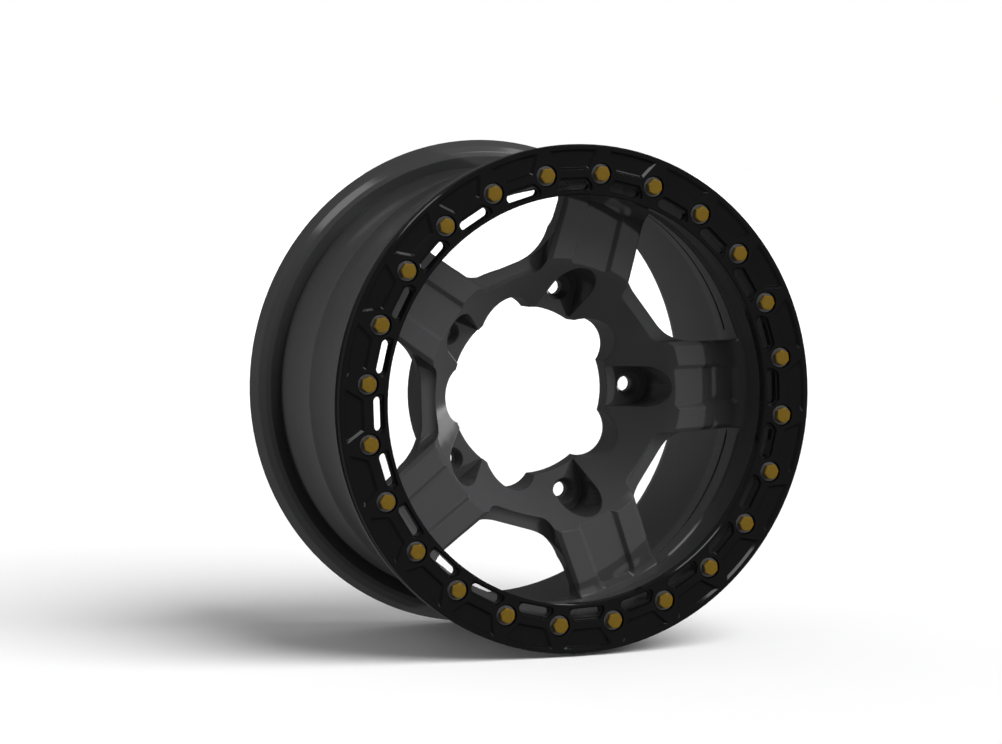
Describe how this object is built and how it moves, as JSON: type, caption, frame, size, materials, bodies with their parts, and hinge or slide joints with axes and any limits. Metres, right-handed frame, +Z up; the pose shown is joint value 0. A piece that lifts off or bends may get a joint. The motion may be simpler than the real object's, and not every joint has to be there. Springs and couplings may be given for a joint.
{
  "type": "beadlock wheel",
  "caption": "Five-spoke cast off-road wheel with a bolted outer bead ring, open windows, conical hub and scalloped centre bore.",
  "frame": {"origin": "on the wheel's axis, in the plane of the hub's mounting face", "axes": "+Y along the axis towards the vehicle, the face of the wheel towards -Y, +Z up"},
  "size_m": [0.4753, 0.255, 0.4752],
  "materials": {
    "cast_body": "satin charcoal powder coat",
    "bead_ring": "satin black coat",
    "washers": "zinc plated",
    "bolts": "gold zinc plated"
  },
  "bodies": {
    "root": {"wheel_body": "cast_body", "beadlock_ring": "bead_ring", "ring_washers": "washers", "ring_bolts": "bolts"}
  },
  "joints": []
}
